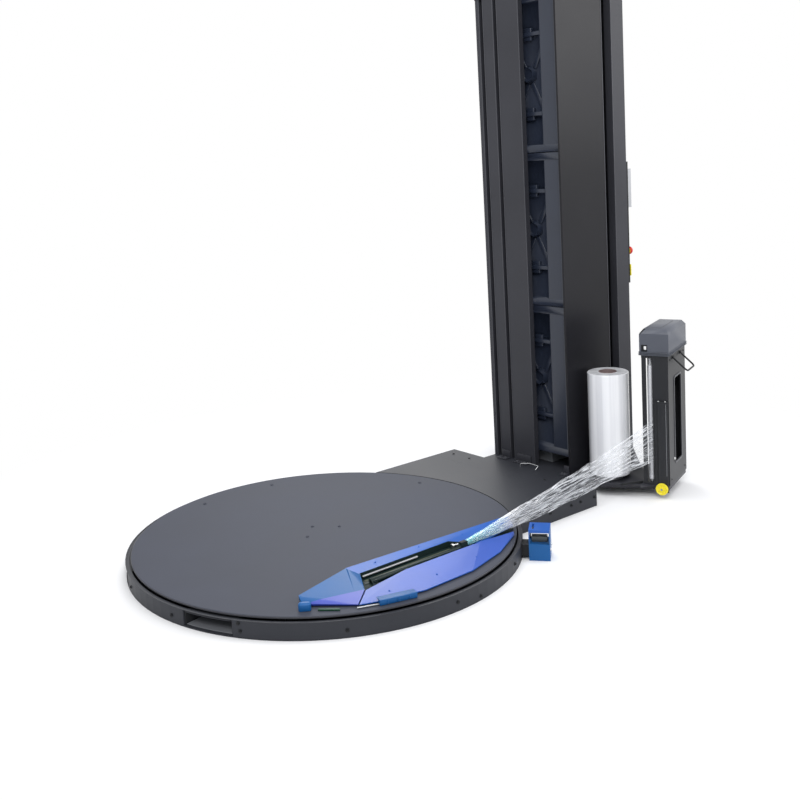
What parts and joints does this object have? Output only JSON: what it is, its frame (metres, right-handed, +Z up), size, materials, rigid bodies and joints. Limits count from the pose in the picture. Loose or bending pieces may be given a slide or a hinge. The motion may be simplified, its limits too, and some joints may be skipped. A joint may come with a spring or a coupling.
{
  "type": "turntable pallet wrapper",
  "caption": "Low turntable with fork pockets and an edge film clamp, bridged to a box mast; a film carriage with a pre-stretch tower climbs the mast.",
  "frame": {"origin": "on the floor under the turntable's axis", "axes": "+X from the turntable to the mast, +Z up, +Y away from the film carriage"},
  "size_m": [2.6673, 1.7, 2.42],
  "materials": {
    "table_paint": "satin powder coat",
    "ring_paint": "satin powder coat",
    "mast_paint": "satin powder coat",
    "moulded_cover": "fine grained moulded plastic",
    "clamp_blue": "satin powder coat",
    "dark_steel": "black oxide and black paint",
    "bright_steel": "ground and zinc plated",
    "motor_grey": "cast and painted",
    "roller_rubber": "matt",
    "stretch_film": "clear film, whitish in layers",
    "cap_grey": "fine grained",
    "aluminium": "satin",
    "yellow": "satin",
    "red": "gloss",
    "white": "satin"
  },
  "bodies": {
    "base": {"base_pan": "ring_paint", "ring_skirt": "ring_paint", "fork_pocket_left": "dark_steel", "fork_pocket_right": "dark_steel", "centre_spindle": "bright_steel", "bridge_front_cover": "table_paint", "bridge_rear_cover": "table_paint", "drive_motor": "motor_grey", "drive_chain": "dark_steel", "mast_column": "bright_steel", "mast_right_panel": "mast_paint", "mast_rear_panel": "mast_paint", "mast_left_panel": "mast_paint", "mast_wing_panel": "mast_paint", "mast_cover_lower": "moulded_cover", "mast_cover_middle": "moulded_cover", "mast_cover_upper": "moulded_cover", "mast_top_cap": "mast_paint", "lift_motor": "motor_grey", "lift_strap": "dark_steel", "control_box": "dark_steel", "display": "white", "isolator_plate": "yellow", "actuator_bracket": "dark_steel", "actuator_box": "clamp_blue", "film_web_lower": "stretch_film", "film_web_upper": "stretch_film"},
    "turntable": {"turntable_plate": "table_paint", "table_sprocket": "motor_grey", "clamp_base": "clamp_blue", "clamp_rear_cover": "clamp_blue", "clamp_front_cover": "clamp_blue", "clamp_push_rod": "bright_steel"},
    "clamp_arm": {"clamp_arm": "dark_steel"},
    "cutter_arm": {"cutter_arm": "bright_steel"},
    "actuator_pusher": {"actuator_pusher": "bright_steel"},
    "drive_sprocket": {"drive_sprocket": "bright_steel"},
    "rear_door": {"mast_rear_door": "mast_paint"},
    "start_button": {"start_button": "white"},
    "stop_button": {"stop_button": "white"},
    "e_stop_button": {"e_stop_button": "red"},
    "isolator_knob": {"isolator_knob": "red"},
    "lift_pulley": {"lift_pulley": "bright_steel"},
    "carriage": {"carriage_trolley": "bright_steel", "carriage_tray": "mast_paint", "roll_mandrel": "bright_steel", "tower_housing": "mast_paint", "tower_cap": "cap_grey", "carriage_handle": "dark_steel"},
    "film_roll": {"film_roll": "stretch_film"},
    "idler_roller": {"idler_roller": "aluminium"},
    "prestretch_front": {"prestretch_roller_front": "roller_rubber"},
    "prestretch_rear": {"prestretch_roller_rear": "roller_rubber"},
    "tower_door": {"tower_door": "mast_paint"},
    "roping_wheel": {"roping_wheel": "yellow"},
    "support_wheel_1": {"support_wheel_1": "roller_rubber"},
    "support_wheel_2": {"support_wheel_2": "roller_rubber"},
    "support_wheel_3": {"support_wheel_3": "roller_rubber"},
    "support_wheel_4": {"support_wheel_4": "roller_rubber"}
  },
  "joints": [
    {"name": "turntable_spin", "type": "hinge", "parent": "base", "child": "turntable", "pos_m": [0, 0, 0.076], "axis": [0, 0, 1], "continuous": true, "deforming": ["film_web_lower"]},
    {"name": "support_wheel_1_spin", "type": "hinge", "parent": "base", "child": "support_wheel_1", "pos_m": [0.49892, 0.491, 0.0457], "axis": [0.7127, 0.7014, 0], "continuous": true},
    {"name": "support_wheel_2_spin", "type": "hinge", "parent": "base", "child": "support_wheel_2", "pos_m": [-0.49892, 0.491, 0.0457], "axis": [-0.7127, 0.7014, 0], "continuous": true},
    {"name": "support_wheel_3_spin", "type": "hinge", "parent": "base", "child": "support_wheel_3", "pos_m": [-0.49892, -0.491, 0.0457], "axis": [-0.7127, -0.7014, 0], "continuous": true},
    {"name": "support_wheel_4_spin", "type": "hinge", "parent": "base", "child": "support_wheel_4", "pos_m": [0.49892, -0.491, 0.0457], "axis": [0.7127, -0.7014, 0], "continuous": true},
    {"name": "drive_sprocket_spin", "type": "hinge", "parent": "base", "child": "drive_sprocket", "pos_m": [1.445, 0, 0.034], "axis": [0, 0, 1], "continuous": true},
    {"name": "clamp_arm_lift", "type": "hinge", "parent": "turntable", "child": "clamp_arm", "pos_m": [-0.19, -0.59004, 0.095], "axis": [0, -1, 0], "range_deg": [0, 55]},
    {"name": "cutter_arm_swing", "type": "hinge", "parent": "turntable", "child": "cutter_arm", "pos_m": [0.305, -0.61272, 0.095], "axis": [0, 1, 0], "range_deg": [0, 40]},
    {"name": "actuator_push", "type": "slide", "parent": "base", "child": "actuator_pusher", "axis": [-0.6361, 0.7716, 0], "range_m": [0, 0.02]},
    {"name": "rear_door_hinge", "type": "hinge", "parent": "base", "child": "rear_door", "pos_m": [1.769, 0.198, 0.0803], "axis": [0, 0, 1], "range_deg": [0, 110]},
    {"name": "start_press", "type": "slide", "parent": "base", "child": "start_button", "axis": [-1, 0, 0], "range_m": [0, 0.004], "stiffness_N_per_m": 400, "springref_m": -0.001},
    {"name": "stop_press", "type": "slide", "parent": "base", "child": "stop_button", "axis": [-1, 0, 0], "range_m": [0, 0.004], "stiffness_N_per_m": 400, "springref_m": -0.001},
    {"name": "e_stop_press", "type": "slide", "parent": "base", "child": "e_stop_button", "axis": [-1, 0, 0], "range_m": [0, 0.006], "stiffness_N_per_m": 800, "springref_m": -0.001},
    {"name": "isolator_turn", "type": "hinge", "parent": "base", "child": "isolator_knob", "pos_m": [1.7833, -0.231, 1.023], "axis": [1, 0, 0], "range_deg": [0, 90]},
    {"name": "carriage_lift", "type": "slide", "parent": "base", "child": "carriage", "axis": [0, 0, 1], "range_m": [0, 1.55], "deforming": ["film_web_upper", "lift_strap"]},
    {"name": "lift_pulley_spin", "type": "hinge", "parent": "base", "child": "lift_pulley", "pos_m": [1.6843, -0.017, 2.28], "axis": [0, 1, 0], "range_deg": [0, 2300]},
    {"name": "film_roll_spin", "type": "hinge", "parent": "carriage", "child": "film_roll", "pos_m": [1.4495, -0.3716, 0.065], "axis": [0, 0, 1], "continuous": true},
    {"name": "idler_roller_spin", "type": "hinge", "parent": "carriage", "child": "idler_roller", "pos_m": [1.50639, -0.57234, 0.07], "axis": [0, 0, 1], "continuous": true},
    {"name": "prestretch_front_spin", "type": "hinge", "parent": "carriage", "child": "prestretch_front", "pos_m": [1.6084, -0.58139, 0.07], "axis": [0, 0, 1], "continuous": true},
    {"name": "prestretch_rear_spin", "type": "hinge", "parent": "carriage", "child": "prestretch_rear", "pos_m": [1.67557, -0.51918, 0.07], "axis": [0, 0, 1], "continuous": true},
    {"name": "tower_door_hinge", "type": "hinge", "parent": "carriage", "child": "tower_door", "pos_m": [1.49986, -0.66697, 0.03], "axis": [0, 0, 1], "range_deg": [0, 100]},
    {"name": "roping_wheel_spin", "type": "hinge", "parent": "tower_door", "child": "roping_wheel", "pos_m": [1.48937, -0.64047, 0.048], "axis": [-0.9336, -0.3584, 0], "continuous": true}
  ],
  "couplings": [
    {"joint": "support_wheel_1_spin", "follows": "turntable_spin", "ratio": -26.923},
    {"joint": "support_wheel_2_spin", "follows": "turntable_spin", "ratio": -26.923},
    {"joint": "support_wheel_3_spin", "follows": "turntable_spin", "ratio": -26.923},
    {"joint": "support_wheel_4_spin", "follows": "turntable_spin", "ratio": -26.923},
    {"joint": "drive_sprocket_spin", "follows": "turntable_spin", "ratio": 2.4444},
    {"joint": "lift_pulley_spin", "follows": "carriage_lift", "rad_per_m": 25},
    {"joint": "prestretch_rear_spin", "follows": "prestretch_front_spin", "ratio": -0.4}
  ]
}
